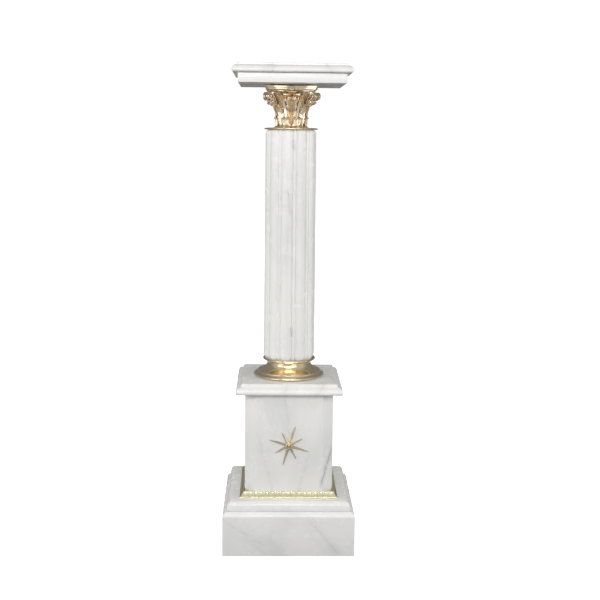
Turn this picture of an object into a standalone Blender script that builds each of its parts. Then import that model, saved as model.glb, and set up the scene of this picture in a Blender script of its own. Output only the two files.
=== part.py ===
"""Marble pedestal column with gilt bronze mounts and a revolving top.

Metres, +Z up, origin on the floor at the centre of the base. The front faces -Y.
From the floor up: base block, moulded slab, square shaft block (die) with cut corners, moulded cap
slab, turned bronze foot, reeded marble shaft, bronze necking and capital, and two square slabs that
turn together on the end of the tie rod that holds the whole stack.
"""
import math

import bmesh
import bpy
from mathutils import Matrix, Vector

# Driving dimensions
HEIGHT = 1.000
SLAB, CAP_SLAB, TOP_SLAB = 0.020, 0.022, 0.019      # thickness of the marble slabs
GAP = 0.0003                # left between pieces that touch

BLOCK_SIDE, BLOCK_HEIGHT, BLOCK_ROUND = 0.273, 0.093, 0.011
MOULDING_SIDE, MOULDING_TOP_SIDE, MOULDING_FILLET = 0.2555, 0.234, 0.0080
DIE_SIDE, DIE_HEIGHT, DIE_CHAMFER = 0.184, 0.220, 0.022
CAP_SIDE, CAP_TOP_SIDE, CAP_FILLET = 0.221, 0.1976, 0.0060
TOP_SIDE, TOP_TOP_SIDE, TOP_FILLET = 0.2386, 0.217, 0.0045
BED_SIDE = 0.2146
NOSE_ROUND = 0.0040         # round under the nosing
SLAB_LEDGE = 0.0010         # from the band out to where the nosing starts
ARRIS = 0.0012

SKIRTING_WIDTH, SKIRTING_HEIGHT = 0.0100, 0.0120
SKIRTING_TOE, SKIRTING_LEDGE = 0.0018, 0.0014   # upright at the foot; flat on top against the die
PIN_HEIGHT, PIN_SPREAD = 0.0058, 0.055      # above the slab; to each side of the middle
PIN_STAND = 0.0082          # from the die's face out to the pin's shoulder
PIN_RADIUS, PIN_LENGTH, PIN_HEAD = 0.0006, 0.0120, 0.0012
PIN_HOLE_RADIUS, PIN_HOLE_DEPTH = 0.0009, 0.0140

FOOT_HEIGHT, FOOT_WALL = 0.039, 0.0050
LIP_RADIUS, LIP_BEAD, NECK_RADIUS, FOOT_RADIUS = 0.0527, 0.0028, 0.0462, 0.0745
NECK_RISE, SWEEP_RISE = 0.0270, 0.0162  # the neck's narrowest level, and the control point under it
CROWN_RADIUS, CROWN_RISE, CROWN_BEAD = 0.0656, 0.0096, 0.0012   # the ridge where the sweep ends
FOOT_BEAD = 0.0026          # radius of the ring that the foot stands on
SHAFT_SEAT = 0.0050         # the shaft stands this far below the top of the foot's lip
SHAFT_RADIUS_LOW, SHAFT_RADIUS_HIGH = 0.0542, 0.0527
TOE_IN, TOE_HEIGHT = 0.0065, 0.0150     # the shaft draws in by this much over this height at its foot
HEAD_IN, HEAD_HEIGHT = 0.0050, 0.0070   # and at its head
REEDS, REED_ARC, BEAD_ARC = 10, math.radians(27), math.radians(9)
REED_RISE, BEAD_RISE, BEAD_DROP = 0.0034, 0.0010, 0.0014
REED_TURN = math.radians(8.5)   # the bead nearest the front stands this far to the right

NECKING_BOTTOM, NECKING_HEIGHT = 0.8715, 0.0070
NECKING_RADIUS, NECKING_RIM = 0.0553, 0.0030
BELL_FOOT_RADIUS, CAPITAL_WALL = 0.0300, 0.0045
ABACUS_HEIGHT, ABACUS_HALF, ABACUS_HORN = 0.0120, 0.0540, 0.0090
THRUST_WASHER, WASHER_INNER, WASHER_OUTER = 0.0008, 0.0150, 0.0300

ROD_RADIUS, BORE_RADIUS = 0.0040, 0.0060
ROD_BOTTOM = 0.0055
NUT_ACROSS_FLATS, NUT_HEIGHT = 0.0130, 0.0065
RECESS_RADIUS, RECESS_DEPTH = 0.0220, 0.0200
POCKET_RADIUS, POCKET_DEPTH = 0.0120, 0.0065    # for the clamp nut, in the top of the abacus
COUNTERBORE_RADIUS, COUNTERBORE_DEPTH = 0.0120, 0.0105  # for the lock nut, in the bed slab
BUSH_RADIUS = 0.0080

STAR_LONG, STAR_SHORT, STAR_VALLEY = 0.0430, 0.0320, 0.0062
STAR_EDGE, STAR_PEAK, STAR_BOSS, STAR_TURN = 0.0010, 0.0034, 0.0062, math.radians(17)
SCREW_HEAD, SCREW_SHANK, SCREW_LENGTH = 0.0032, 0.0016, 0.0220
SCREW_HEAD_LOW, SCREW_HEAD_HIGH = 0.0019, 0.0036    # above the star's back
SLOT_WIDTH, SLOT_DEPTH = 0.0009, 0.0014
SCREW_HOLE, HOLE_START = 0.0350, 0.0100     # the drill's length, and how far outside the die it starts

# Heights of the bed joints
BLOCK_TOP = BLOCK_HEIGHT
MOULDING_TOP = BLOCK_TOP + SLAB
DIE_TOP = MOULDING_TOP + DIE_HEIGHT
CAP_TOP = DIE_TOP + CAP_SLAB
LIP_TOP = CAP_TOP + FOOT_HEIGHT
SHAFT_BOTTOM = LIP_TOP - SHAFT_SEAT
BELL_BOTTOM = NECKING_BOTTOM + NECKING_HEIGHT
TOP_BOTTOM = HEIGHT - TOP_SLAB
BED_BOTTOM = TOP_BOTTOM - SLAB
ABACUS_TOP = BED_BOTTOM - THRUST_WASHER - GAP
ABACUS_BOTTOM = ABACUS_TOP - ABACUS_HEIGHT
STAR_HEIGHT = (MOULDING_TOP + DIE_TOP) / 2

TURN_STEPS, SMALL_STEPS = 48, 20
CAPITAL_STEPS, CAPITAL_ROWS = 80, 22

MARBLE, GILT, STEEL = "marble", "gilt_bronze", "steel"
BRASS, NYLON = "brass", "nylon"
COLOURS = {
    MARBLE: ((0.83, 0.82, 0.80), 0.30, 0.0),
    GILT: ((0.80, 0.60, 0.33), 0.25, 1.0),
    STEEL: ((0.56, 0.57, 0.58), 0.35, 1.0),
    BRASS: ((0.78, 0.62, 0.30), 0.30, 1.0),
    NYLON: ((0.86, 0.85, 0.80), 0.50, 0.0),
}


def clear_scene():
    for old in list(bpy.data.objects):
        bpy.data.objects.remove(old)


def new_collection(name):
    found = bpy.data.collections.new(name)
    bpy.context.scene.collection.children.link(found)
    return found


def material(kind):
    made = bpy.data.materials.get(kind)
    if made is None:
        colour, roughness, metallic = COLOURS[kind]
        made = bpy.data.materials.new(kind)
        made.use_nodes = True
        shader = made.node_tree.nodes["Principled BSDF"]
        shader.inputs["Base Color"].default_value = (*colour, 1)
        shader.inputs["Roughness"].default_value = roughness
        shader.inputs["Metallic"].default_value = metallic
    return made


def finish_mesh(name, bm, kind, group=None):
    """The bmesh as a named object, with its faces facing out."""
    bmesh.ops.recalc_face_normals(bm, faces=bm.faces)
    mesh = bpy.data.meshes.new(name)
    bm.to_mesh(mesh)
    bm.free()
    made = bpy.data.objects.new(name, mesh)
    (group or PARTS).objects.link(made)
    mesh.materials.append(material(kind))
    return made


def smooth(obj, degrees=35):
    obj.data.shade_smooth()
    obj.data.set_sharp_from_angle(angle=math.radians(degrees))
    return obj


def arc(centre, radii, start, end, steps):
    """Points (r, z) on an ellipse's arc, angles in degrees from +r towards +z."""
    points = []
    for i in range(steps + 1):
        angle = math.radians(start + (end - start) * i / steps)
        points.append((centre[0] + radii[0] * math.cos(angle), centre[1] + radii[1] * math.sin(angle)))
    return points


def turned(name, profile, kind, steps=TURN_STEPS, closed=False):
    """A profile of (radius, height), running down its outer side, turned about the Z axis by a Screw."""
    mesh = bpy.data.meshes.new(name)
    edges = [(i, i + 1) for i in range(len(profile) - 1)]
    if closed:
        edges.append((len(profile) - 1, 0))
    mesh.from_pydata([(r, 0, z) for r, z in profile], edges, [])
    made = bpy.data.objects.new(name, mesh)
    PARTS.objects.link(made)
    mesh.materials.append(material(kind))
    screw = made.modifiers.new("turn", "SCREW")
    screw.steps = screw.render_steps = steps
    screw.use_merge_vertices = True
    screw.merge_threshold = 0.00001
    screw.use_smooth_shade = steps > 8
    return made


def square_slab(name, profile, kind=MARBLE):
    """A square slab with mitred mouldings: a profile of (half side, height), turned in four steps."""
    made = turned(name, [(half * math.sqrt(2), z) for half, z in profile], kind, steps=4)
    made.rotation_euler.z = math.pi / 4
    return made


def ring(name, inner, outer, low, high, kind, steps=SMALL_STEPS):
    """A washer, bush or tube."""
    profile = [(inner, high), (outer, high), (outer, low), (inner, low)]
    return turned(name, profile, kind, steps, closed=True)


def cylinder(name, radius, low, high, kind=None, steps=SMALL_STEPS):
    """An upright cylinder, a cutter where it has no material."""
    bm = bmesh.new()
    bmesh.ops.create_cone(
        bm, cap_ends=True, segments=steps, radius1=radius, radius2=radius, depth=high - low,
        matrix=Matrix.Translation((0, 0, (low + high) / 2)),
    )
    made = finish_mesh(name, bm, kind or STEEL, None if kind else CUTTERS)
    if kind is None:
        hide(made)
    return made


def hide(cutter):
    cutter.hide_render = True
    cutter.display_type = "WIRE"
    return cutter


def cut(obj, cutter, operation="DIFFERENCE"):
    boolean = obj.modifiers.new(cutter.name, "BOOLEAN")
    boolean.operation = operation
    boolean.solver = "EXACT"
    boolean.object = cutter
    return obj


def bevel(obj, width=ARRIS, segments=1, degrees=60):
    modifier = obj.modifiers.new("arris", "BEVEL")
    modifier.width = width
    modifier.segments = segments
    modifier.limit_method = "ANGLE"
    modifier.angle_limit = math.radians(degrees)
    return obj


def plate(name, outline, low, high, kind=MARBLE, group=None):
    """A flat outline of (x, y), extruded from low to high: a filled 2D curve made a mesh."""
    curve = bpy.data.curves.new(name, "CURVE")
    curve.dimensions = "2D"
    curve.fill_mode = "BOTH"
    curve.extrude = (high - low) / 2
    spline = curve.splines.new("POLY")
    spline.points.add(len(outline) - 1)
    for point, (x, y) in zip(spline.points, outline):
        point.co = (x, y, 0, 1)
    spline.use_cyclic_u = True
    source = bpy.data.objects.new(name + "_outline", curve)
    CUTTERS.objects.link(source)
    graph = bpy.context.evaluated_depsgraph_get()
    bm = bmesh.new()
    made = bpy.data.meshes.new_from_object(source.evaluated_get(graph))
    bm.from_mesh(made)
    bpy.data.objects.remove(source)
    bpy.data.meshes.remove(made)
    bmesh.ops.remove_doubles(bm, verts=bm.verts, dist=0.00001)
    bmesh.ops.translate(bm, verts=bm.verts, vec=(0, 0, (low + high) / 2))
    return finish_mesh(name, bm, kind, group)


def loft(name, rings, kind, closed=False):
    """Rings of as many points each, joined in order; the ends are capped, or joined if closed."""
    bm = bmesh.new()
    rows = [[bm.verts.new(point) for point in points] for points in rings]
    pairs = list(zip(rows, rows[1:] + ([rows[0]] if closed else [])))
    for low, high in pairs:
        for i in range(len(low)):
            j = (i + 1) % len(low)
            bm.faces.new((low[i], low[j], high[j], high[i]))
    if not closed:
        bm.faces.new(rows[0])
        bm.faces.new(rows[-1])
    return finish_mesh(name, bm, kind)


def nosed_profile(side, top_side, fillet, low, high):
    """A slab with a band round its top edge and a rounded nosing under it."""
    half, band = side / 2, top_side / 2
    ledge, shoulder = high - fillet, low + NOSE_ROUND
    nose = arc((band + SLAB_LEDGE, shoulder), (half - band - SLAB_LEDGE, ledge - shoulder), 90, 0, 5)
    under = arc((half - NOSE_ROUND, shoulder), (NOSE_ROUND, NOSE_ROUND), -22.5, -90, 3)
    return [(0, high), (band, high), (band, ledge), *nose, *under, (0, low)]


def bored(obj, low, high, radius=BORE_RADIUS):
    return cut(obj, cylinder(obj.name + "_bore", radius, low, high))


def make_base_block():
    half = BLOCK_SIDE / 2
    edge = arc((half - BLOCK_ROUND, BLOCK_TOP - BLOCK_ROUND), (BLOCK_ROUND, BLOCK_ROUND), 90, 0, 5)
    block = square_slab("base_block", [(0, BLOCK_TOP), *edge, (half, 0), (0, 0)])
    bevel(block)
    bored(block, -0.01, BLOCK_TOP + 0.01)
    cut(block, cylinder("base_block_recess", RECESS_RADIUS, -0.01, RECESS_DEPTH))


def make_base_moulding():
    half, top_half = MOULDING_SIDE / 2, MOULDING_TOP_SIDE / 2
    low, ledge = BLOCK_TOP + GAP, BLOCK_TOP + MOULDING_FILLET
    reach, rise = half - top_half - SLAB_LEDGE, MOULDING_TOP - ledge
    ovolo = arc((top_half, ledge), (reach, rise), 90, 0, 6)
    profile = [(0, MOULDING_TOP), *ovolo, (half, ledge), (half, low), (0, low)]
    bored(square_slab("base_moulding", profile), BLOCK_TOP - 0.01, MOULDING_TOP + 0.01)


def make_die():
    half, inner = DIE_SIDE / 2, DIE_SIDE / 2 - DIE_CHAMFER
    corners = [(half, -inner), (half, inner), (inner, half), (-inner, half)]
    outline = corners + [(-x, -y) for x, y in corners]
    die = plate("die", outline, MOULDING_TOP + GAP, DIE_TOP)
    bored(die, MOULDING_TOP - 0.01, DIE_TOP + 0.01)
    hole = cylinder("die_screw_hole", SCREW_SHANK + GAP, 0, SCREW_HOLE)
    mouth = Matrix.Translation((0, -half - HOLE_START, STAR_HEIGHT))
    hole.matrix_world = mouth @ Matrix.Rotation(-math.pi / 2, 4, "X")
    cut(die, hole)
    for number, place in enumerate(pin_places(), 1):
        hole = cylinder(f"die_pin_hole_{number}", PIN_HOLE_RADIUS, 0, PIN_HOLE_DEPTH)
        hole.matrix_world = place
        cut(die, hole)


def make_cap():
    cap = square_slab("die_cap", nosed_profile(CAP_SIDE, CAP_TOP_SIDE, CAP_FILLET, DIE_TOP + GAP, CAP_TOP))
    bored(cap, DIE_TOP - 0.01, CAP_TOP + 0.01)


def side_turns():
    """The four sides, as turns about Z from the front."""
    return [("front", 0), ("right", math.pi / 2), ("back", math.pi), ("left", -math.pi / 2)]


def pin_places():
    """Where each skirting pin goes in: its head lies just outside the strip, and it points inwards."""
    outside = DIE_SIDE / 2 + PIN_STAND
    places = []
    for _, turn in side_turns():
        for across in (-PIN_SPREAD, PIN_SPREAD):
            spot = Matrix.Translation((across, -outside, MOULDING_TOP + PIN_HEIGHT))
            places.append(Matrix.Rotation(turn, 4, "Z") @ spot @ Matrix.Rotation(-math.pi / 2, 4, "X"))
    return places


def skirting_section():
    """The strip's section as (distance from the axis, height): a toe, a hollow and a flat top."""
    inner, low = DIE_SIDE / 2 + GAP, MOULDING_TOP + GAP
    outer, high = DIE_SIDE / 2 + SKIRTING_WIDTH, MOULDING_TOP + SKIRTING_HEIGHT
    hollow = arc((outer, high), (outer - inner - 0.0018, high - low - 0.0022), 262, 188, 4)
    toe, ledge = (outer, low + SKIRTING_TOE), (inner + SKIRTING_LEDGE, high)
    return [(inner, low), (outer, low), toe, *hollow, ledge, (inner, high)]


def make_skirting():
    """Four strips round the foot of the die, mitred at the corners, each held by two pins."""
    reach = DIE_SIDE / 2 + SKIRTING_WIDTH
    section = [(-distance, z) for distance, z in skirting_section()]
    for side, turn in side_turns():
        strip = plate("skirting_" + side, section, -reach, reach, GILT)
        strip.data.transform(Matrix(((0, 0, 1, 0), (1, 0, 0, 0), (0, 1, 0, 0), (0, 0, 0, 1))))
        bm = bmesh.new()
        bm.from_mesh(strip.data)
        for sign in (-1, 1):
            cut_bm = bmesh.ops.bisect_plane(
                bm, geom=[*bm.verts, *bm.edges, *bm.faces], clear_outer=True,
                plane_co=(-sign * GAP, 0, 0), plane_no=(sign, 1, 0),
            )
            edges = [item for item in cut_bm["geom_cut"] if isinstance(item, bmesh.types.BMEdge)]
            bmesh.ops.contextual_create(bm, geom=edges)
        bmesh.ops.recalc_face_normals(bm, faces=bm.faces)
        bm.to_mesh(strip.data)
        bm.free()
        strip.rotation_euler.z = turn
    for number, place in enumerate(pin_places(), 1):
        strip = bpy.data.objects["skirting_" + side_turns()[(number - 1) // 2][0]]
        hole = cylinder(f"skirting_pin_hole_{number}", PIN_HOLE_RADIUS, -0.002, PIN_HOLE_DEPTH, steps=12)
        hole.matrix_world = place
        cut(strip, hole)
        profile = [(0, PIN_LENGTH), (PIN_RADIUS, PIN_LENGTH - 0.0005), (PIN_RADIUS, 0.0006),
                   (PIN_HEAD, 0.0006), (PIN_HEAD, 0.0001), (0.0007, -0.0004), (0, -0.0004)]
        pin = turned(f"skirting_pin_{number}", profile, BRASS, steps=10)
        pin.matrix_world = place


def make_star():
    """An eight-pointed star with a ridge along each ray and a bored boss, on the front of the die."""
    bm = bmesh.new()
    rim = []
    for i in range(16):
        length = (STAR_LONG, STAR_VALLEY, STAR_SHORT, STAR_VALLEY)[i % 4]
        angle = math.pi * i / 8
        rim.append(Vector((length * math.cos(angle), length * math.sin(angle), 0)))
    back = [bm.verts.new(point) for point in rim]
    edge = [bm.verts.new(point + Vector((0, 0, STAR_EDGE))) for point in rim]
    peak = bm.verts.new((0, 0, STAR_PEAK))
    bm.faces.new(back)
    for i in range(16):
        j = (i + 1) % 16
        bm.faces.new((back[i], back[j], edge[j], edge[i]))
        bm.faces.new((edge[i], edge[j], peak))
    star = finish_mesh("star_ornament", bm, GILT)
    cut(star, cylinder("star_boss", STAR_BOSS, 0.0002, STAR_PEAK + 0.0010), "UNION")
    cut(star, cylinder("star_shank_hole", SCREW_SHANK + GAP, -0.01, 0.02))
    cut(star, cylinder("star_head_hole", SCREW_HEAD + GAP, 0.0016, 0.02))
    low, high = SCREW_HEAD_LOW, SCREW_HEAD_HIGH
    profile = [(0, high), (SCREW_HEAD * 0.6, high - 0.0001), (SCREW_HEAD, low + 0.0006), (SCREW_HEAD, low),
               (SCREW_SHANK, low), (SCREW_SHANK, 0.002 - SCREW_LENGTH), (0, -SCREW_LENGTH)]
    screw = turned("star_screw", profile, BRASS, steps=SMALL_STEPS)
    slot = bmesh.new()
    size = Matrix.Diagonal((0.02, SLOT_WIDTH, SLOT_DEPTH, 1))
    bmesh.ops.create_cube(slot, size=1, matrix=Matrix.Translation((0, 0, high)) @ size)
    cut(screw, hide(finish_mesh("star_screw_slot", slot, STEEL, CUTTERS)))
    face = Matrix.Translation((0, -DIE_SIDE / 2 - GAP, STAR_HEIGHT)) @ Matrix.Rotation(math.pi / 2, 4, "X")
    place = face @ Matrix.Rotation(math.pi / 2 - STAR_TURN, 4, "Z")
    for obj in (star, screw):
        obj.matrix_world = place
        for modifier in obj.modifiers:
            if modifier.type == "BOOLEAN":
                modifier.object.matrix_world = place


def bend(start, control, end, steps):
    """Points on a quadratic curve, without its first one."""
    points = []
    for i in range(1, steps + 1):
        s = i / steps
        pull, hold, reach = (1 - s) ** 2, 2 * s * (1 - s), s * s
        points.append(tuple(pull * a + hold * b + reach * c for a, b, c in zip(start, control, end)))
    return points


def make_foot():
    """The turned foot: a ring, a ridge, a long sweep up to the neck and a beaded lip, with a web inside."""
    low, high = CAP_TOP + GAP, LIP_TOP
    lip, neck = high - LIP_BEAD, (NECK_RADIUS, low + NECK_RISE)
    bead = arc((LIP_RADIUS, lip), (LIP_BEAD, LIP_BEAD), 90, -60, 6)
    crown = arc((CROWN_RADIUS, low + CROWN_RISE), (CROWN_BEAD, CROWN_BEAD), 80, -20, 3)
    outside = [
        *bead,
        *bend(bead[-1], (NECK_RADIUS, bead[-1][1] - 0.0008), neck, 4),
        *bend(neck, (NECK_RADIUS + 0.0008, low + SWEEP_RISE), crown[0], 8),
        *crown[1:],
        (CROWN_RADIUS + 0.0018, low + 0.0078), (CROWN_RADIUS + 0.0036, low + 0.0060),
        *arc((FOOT_RADIUS - FOOT_BEAD, low + FOOT_BEAD), (FOOT_BEAD, FOOT_BEAD), 110, -70, 6),
        (FOOT_RADIUS - FOOT_BEAD, low),
    ]
    web = SHAFT_BOTTOM - GAP
    seat, bore, ceiling = LIP_RADIUS - LIP_BEAD, ROD_RADIUS + 2 * GAP, web - FOOT_WALL
    inside = [(0.0680, low), (0.0630, low + 0.0050), (0.0480, low + 0.0090), (0.0410, low + 0.0180),
              (NECK_RADIUS - 0.0060, ceiling), (bore, ceiling), (bore, web), (seat - 0.0020, web),
              (seat, lip)]
    turned("column_foot", outside + inside, GILT, closed=True)


def reeded_ring(radius, z):
    """One section of the shaft: ten broad reeds with a narrow bead in each groove between them."""
    points = []
    reed_steps, bead_steps = 6, 3       # facets across a reed and across a bead
    for k in range(REEDS):
        middle = -math.pi / 2 + REED_TURN + 2 * math.pi * k / REEDS
        for i in range(bead_steps):
            t = -1 + 2 * (i + 0.5) / bead_steps
            points.append((radius - BEAD_DROP - BEAD_RISE * t * t, middle + t * BEAD_ARC / 2))
        for i in range(reed_steps + 1):
            t = -1 + 2 * i / reed_steps
            points.append((radius - REED_RISE * t * t, middle + (BEAD_ARC + REED_ARC + t * REED_ARC) / 2))
    return [(r * math.cos(a), r * math.sin(a), z) for r, a in points]


def make_shaft():
    """Sections closer together at the two ends, where the reeds draw in."""
    low, high = SHAFT_BOTTOM, NECKING_BOTTOM - GAP
    ends = [(TOE_IN * (1 - t) ** 2, low + TOE_HEIGHT * t) for t in (0, 0.25, 0.5, 0.75, 1)]
    ends += [(HEAD_IN * (1 - t) ** 2, high - HEAD_HEIGHT * t) for t in (1, 0.75, 0.5, 0.25, 0)]
    sections = []
    for inset, z in ends:
        radius = SHAFT_RADIUS_LOW + (SHAFT_RADIUS_HIGH - SHAFT_RADIUS_LOW) * (z - low) / (high - low)
        sections.append(reeded_ring(radius - inset, z))
    shaft = loft("column_shaft", sections, MARBLE)
    bored(shaft, low - 0.01, high + 0.01)
    smooth(shaft)


def make_necking():
    low, high = NECKING_BOTTOM, BELL_BOTTOM - GAP
    rim, bead = NECKING_RADIUS, low + NECKING_RIM
    inner, seat = ROD_RADIUS + 2 * GAP, BELL_FOOT_RADIUS + 0.0030
    profile = [(inner, high), (seat, high), (seat + 0.0020, high - 0.0022),
               (rim - 0.0030, bead + 0.0006), (rim - 0.0006, bead - 0.0002), (rim, low + NECKING_RIM / 2),
               (rim - 0.0006, low + 0.0002), (rim - 0.0012, low), (inner, low)]
    turned("necking_ring", profile, GILT, closed=True)


def bell_radius(t):
    """The capital's bell at the share t of its height: nearly upright, then flaring under the abacus."""
    return BELL_FOOT_RADIUS + 0.0012 * t + 0.0110 * t ** 4


def bump(x, width):
    """1 at x = 0, falling smoothly to 0 at x = width."""
    return math.cos(min(abs(x) / width, 1) * math.pi / 2) ** 2


def around(angle, count, offset=0.0):
    """How far an angle lies from the nearest of count evenly spaced ones."""
    step = 2 * math.pi / count
    return (angle - offset + step / 2) % step - step / 2


def capital_radius(angle, t):
    """The bell with two rows of leaves whose tips curl out, and scrolls under the four corners."""
    r = bell_radius(t)
    low_curl, high_curl = 0.0016 * bump(t - 0.30, 0.12), 0.0065 * bump(t - 0.68, 0.20)
    low_leaf = bump(around(angle, 8, math.pi / 8), 0.36) * (0.0014 + low_curl) * (t < 0.42)
    high_leaf = bump(around(angle, 8), 0.36) * (0.0016 + high_curl) * (t < 0.82)
    scroll = bump(around(angle, 4, math.pi / 4), 0.24) * bump(t - 0.80, 0.24) * 0.0400
    fleuron = bump(around(angle, 4), 0.14) * bump(t - 0.92, 0.14) * 0.0040
    return r + max(low_leaf, high_leaf, scroll, fleuron)


def capital_ring(radius_at, z):
    """One level of the capital: radius_at gives the radius at an angle."""
    angles = [2 * math.pi * i / CAPITAL_STEPS for i in range(CAPITAL_STEPS)]
    return [(radius_at(a) * math.cos(a), radius_at(a) * math.sin(a), z) for a in angles]


def make_capital():
    """The capital's casting, a shell open at both ends, and the abacus plate that closes it."""
    low, high = BELL_BOTTOM, ABACUS_BOTTOM - GAP
    rings = []
    for row in range(CAPITAL_ROWS + 1):
        t = row / CAPITAL_ROWS
        rings.append(capital_ring(lambda angle: capital_radius(angle, t), low + (high - low) * t))
    for t in (1.0, 0.85, 0.5, 0.0):
        inside = bell_radius(t) - CAPITAL_WALL
        rings.append(capital_ring(lambda angle: inside, low + (high - low) * t))
    smooth(loft("capital_body", rings, GILT, closed=True))
    ring("capital_spacer", ROD_RADIUS + 2 * GAP, ROD_RADIUS + 0.0025, low, high, STEEL)
    make_abacus()


def abacus_outline(half, horn, hollow=0.0125, steps=8):
    """A square with hollowed sides and cut corners, horn wide."""
    reach = half - horn * 0.5
    side = []
    for i in range(steps + 1):
        x = -reach + 2 * reach * i / steps
        side.append((x, -half + hollow * (1 - (x / reach) ** 2)))
    outline = []
    for k in range(4):
        c, s = math.cos(k * math.pi / 2), math.sin(k * math.pi / 2)
        outline.extend((c * x - s * y, s * x + c * y) for x, y in side)
    return outline


def make_abacus():
    """The plate over the bell, stepped in under its upper edge, with a pocket for the clamp nut."""
    middle = ABACUS_BOTTOM + ABACUS_HEIGHT * 0.45
    abacus = plate("capital_abacus", abacus_outline(ABACUS_HALF, ABACUS_HORN), middle, ABACUS_TOP, GILT)
    lower = plate("abacus_lower", abacus_outline(ABACUS_HALF - 0.0045, ABACUS_HORN), ABACUS_BOTTOM,
                  middle + 0.0010, GILT, CUTTERS)
    cut(abacus, hide(lower), "UNION")
    bored(abacus, ABACUS_BOTTOM - 0.01, ABACUS_TOP + 0.01, ROD_RADIUS + 2 * GAP)
    cut(abacus, cylinder("abacus_pocket", POCKET_RADIUS, ABACUS_TOP - POCKET_DEPTH, ABACUS_TOP + 0.01))
    ring("thrust_washer", WASHER_INNER, WASHER_OUTER, ABACUS_TOP + GAP, BED_BOTTOM, NYLON)


def nut(name, low, high):
    """A hexagon nut with a clear hole."""
    across_corners = NUT_ACROSS_FLATS / math.cos(math.pi / 6)
    made = cylinder(name, across_corners / 2, low, high, STEEL, steps=6)
    cut(made, cylinder(name + "_bore", ROD_RADIUS + GAP, low - 0.01, high + 0.01))
    return made


def washer_and_nut(washer_name, nut_name, low, outer, thick, nut_height=NUT_HEIGHT):
    """A washer that lies at low, with a nut on it."""
    ring(washer_name, ROD_RADIUS + GAP, outer, low, low + thick, STEEL)
    nut(nut_name, low + thick + GAP, low + thick + GAP + nut_height)


def make_rod():
    """The tie rod and what it carries: nut and washer under the base, clamp nut in the capital, and
    the lock nut and washer that keep the revolving top on."""
    ceiling, thick = RECESS_DEPTH - GAP, 0.0030
    ring("base_washer", ROD_RADIUS + GAP, 0.0180, ceiling - thick, ceiling, STEEL)
    nut("base_nut", ceiling - thick - GAP - NUT_HEIGHT, ceiling - thick - GAP)
    pocket_floor, shelf = ABACUS_TOP - POCKET_DEPTH + GAP, TOP_BOTTOM - COUNTERBORE_DEPTH + GAP
    washer_and_nut("clamp_washer", "clamp_nut", pocket_floor, 0.0085, 0.0014, nut_height=0.0040)
    washer_and_nut("retaining_washer", "lock_nut", shelf, 0.0105, 0.0016)
    low, high, tip = ROD_BOTTOM, TOP_BOTTOM - 0.0010, 0.0008
    profile = [(0, high), (ROD_RADIUS - tip, high), (ROD_RADIUS, high - tip), (ROD_RADIUS, low + tip),
               (ROD_RADIUS - tip, low), (0, low)]
    turned("tie_rod", profile, STEEL, SMALL_STEPS)


def make_top():
    """The two slabs and the bush, which turn together about the rod."""
    pivot = bpy.data.objects.new("top_pivot", None)
    pivot.location = (0, 0, BED_BOTTOM)
    PARTS.objects.link(pivot)
    half, low, high = BED_SIDE / 2, BED_BOTTOM + GAP, TOP_BOTTOM
    bed = square_slab("bed_slab", [(0, high), (half, high), (half, low), (0, low)])
    bevel(bed)
    bored(bed, low - 0.01, high + 0.01, BUSH_RADIUS + GAP)
    cut(bed, cylinder("bed_slab_counterbore", COUNTERBORE_RADIUS, high - COUNTERBORE_DEPTH, high + 0.01))
    nosed = nosed_profile(TOP_SIDE, TOP_TOP_SIDE, TOP_FILLET, TOP_BOTTOM + GAP, HEIGHT)
    top = square_slab("top_slab", nosed)
    bush = ring("pivot_bush", ROD_RADIUS + GAP, BUSH_RADIUS, low, high - COUNTERBORE_DEPTH, BRASS)
    for obj in (bed, top, bush, *(m.object for m in bed.modifiers if m.type == "BOOLEAN")):
        obj.parent = pivot
        obj.location.z -= BED_BOTTOM


def main():
    make_base_block()
    make_base_moulding()
    make_die()
    make_cap()
    make_skirting()
    make_star()
    make_foot()
    make_shaft()
    make_necking()
    make_capital()
    make_rod()
    make_top()


clear_scene()
PARTS = new_collection("pedestal_column")
CUTTERS = new_collection("cutters")
main()
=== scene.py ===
"""The looks of the marble and gilt bronze pedestal column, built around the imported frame.

Every size below is in metres in the frame's own axes: +Z up, the front faces -Y, and the floor is Z = 0.
Marble pieces are lofted from rounded square sections, bronze ones are turned or swept, and the capital
is leaves and scrolls laid over a turned bell.
"""
import math

import bmesh
import bpy
from mathutils import Matrix, Vector


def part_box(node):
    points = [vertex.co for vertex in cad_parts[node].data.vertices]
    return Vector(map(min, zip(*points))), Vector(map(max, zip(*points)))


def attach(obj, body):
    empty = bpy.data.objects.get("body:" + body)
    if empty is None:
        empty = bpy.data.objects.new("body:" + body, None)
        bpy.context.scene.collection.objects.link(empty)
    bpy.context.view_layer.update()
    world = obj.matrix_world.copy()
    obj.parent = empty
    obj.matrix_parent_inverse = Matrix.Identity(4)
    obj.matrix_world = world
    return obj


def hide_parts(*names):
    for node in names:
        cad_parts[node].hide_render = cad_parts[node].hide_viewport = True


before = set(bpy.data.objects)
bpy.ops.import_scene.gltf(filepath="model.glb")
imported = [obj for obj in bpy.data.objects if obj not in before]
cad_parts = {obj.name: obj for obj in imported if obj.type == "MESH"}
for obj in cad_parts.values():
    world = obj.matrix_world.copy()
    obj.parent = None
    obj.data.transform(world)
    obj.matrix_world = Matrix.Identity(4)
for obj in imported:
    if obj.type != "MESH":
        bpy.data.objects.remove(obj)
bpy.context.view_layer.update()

BASE, TOP = "pedestal", "top"       # the two bodies
ARRIS = 0.0009                      # the eased edges of the marble
ROD_BORE = 0.0060                   # the rod's hole through the marble
BRONZE_BORE = 0.0046                # and through the bronze
NUT_RECESS, NUT_RECESS_TOP = 0.022, 0.020       # under the block, for the rod's lower nut
PIVOT_BORE, CLAMP_RECESS = 0.0083, 0.012        # for the bush, and for the nut and washer over it
THROUGH = (-0.05, 1.05)             # from under the floor to over the top: a hole right through its piece
GLUE_GAP = 0.0003                   # between two pieces that are bonded or seated


# ---------------------------------------------------------------- shapes

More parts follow.
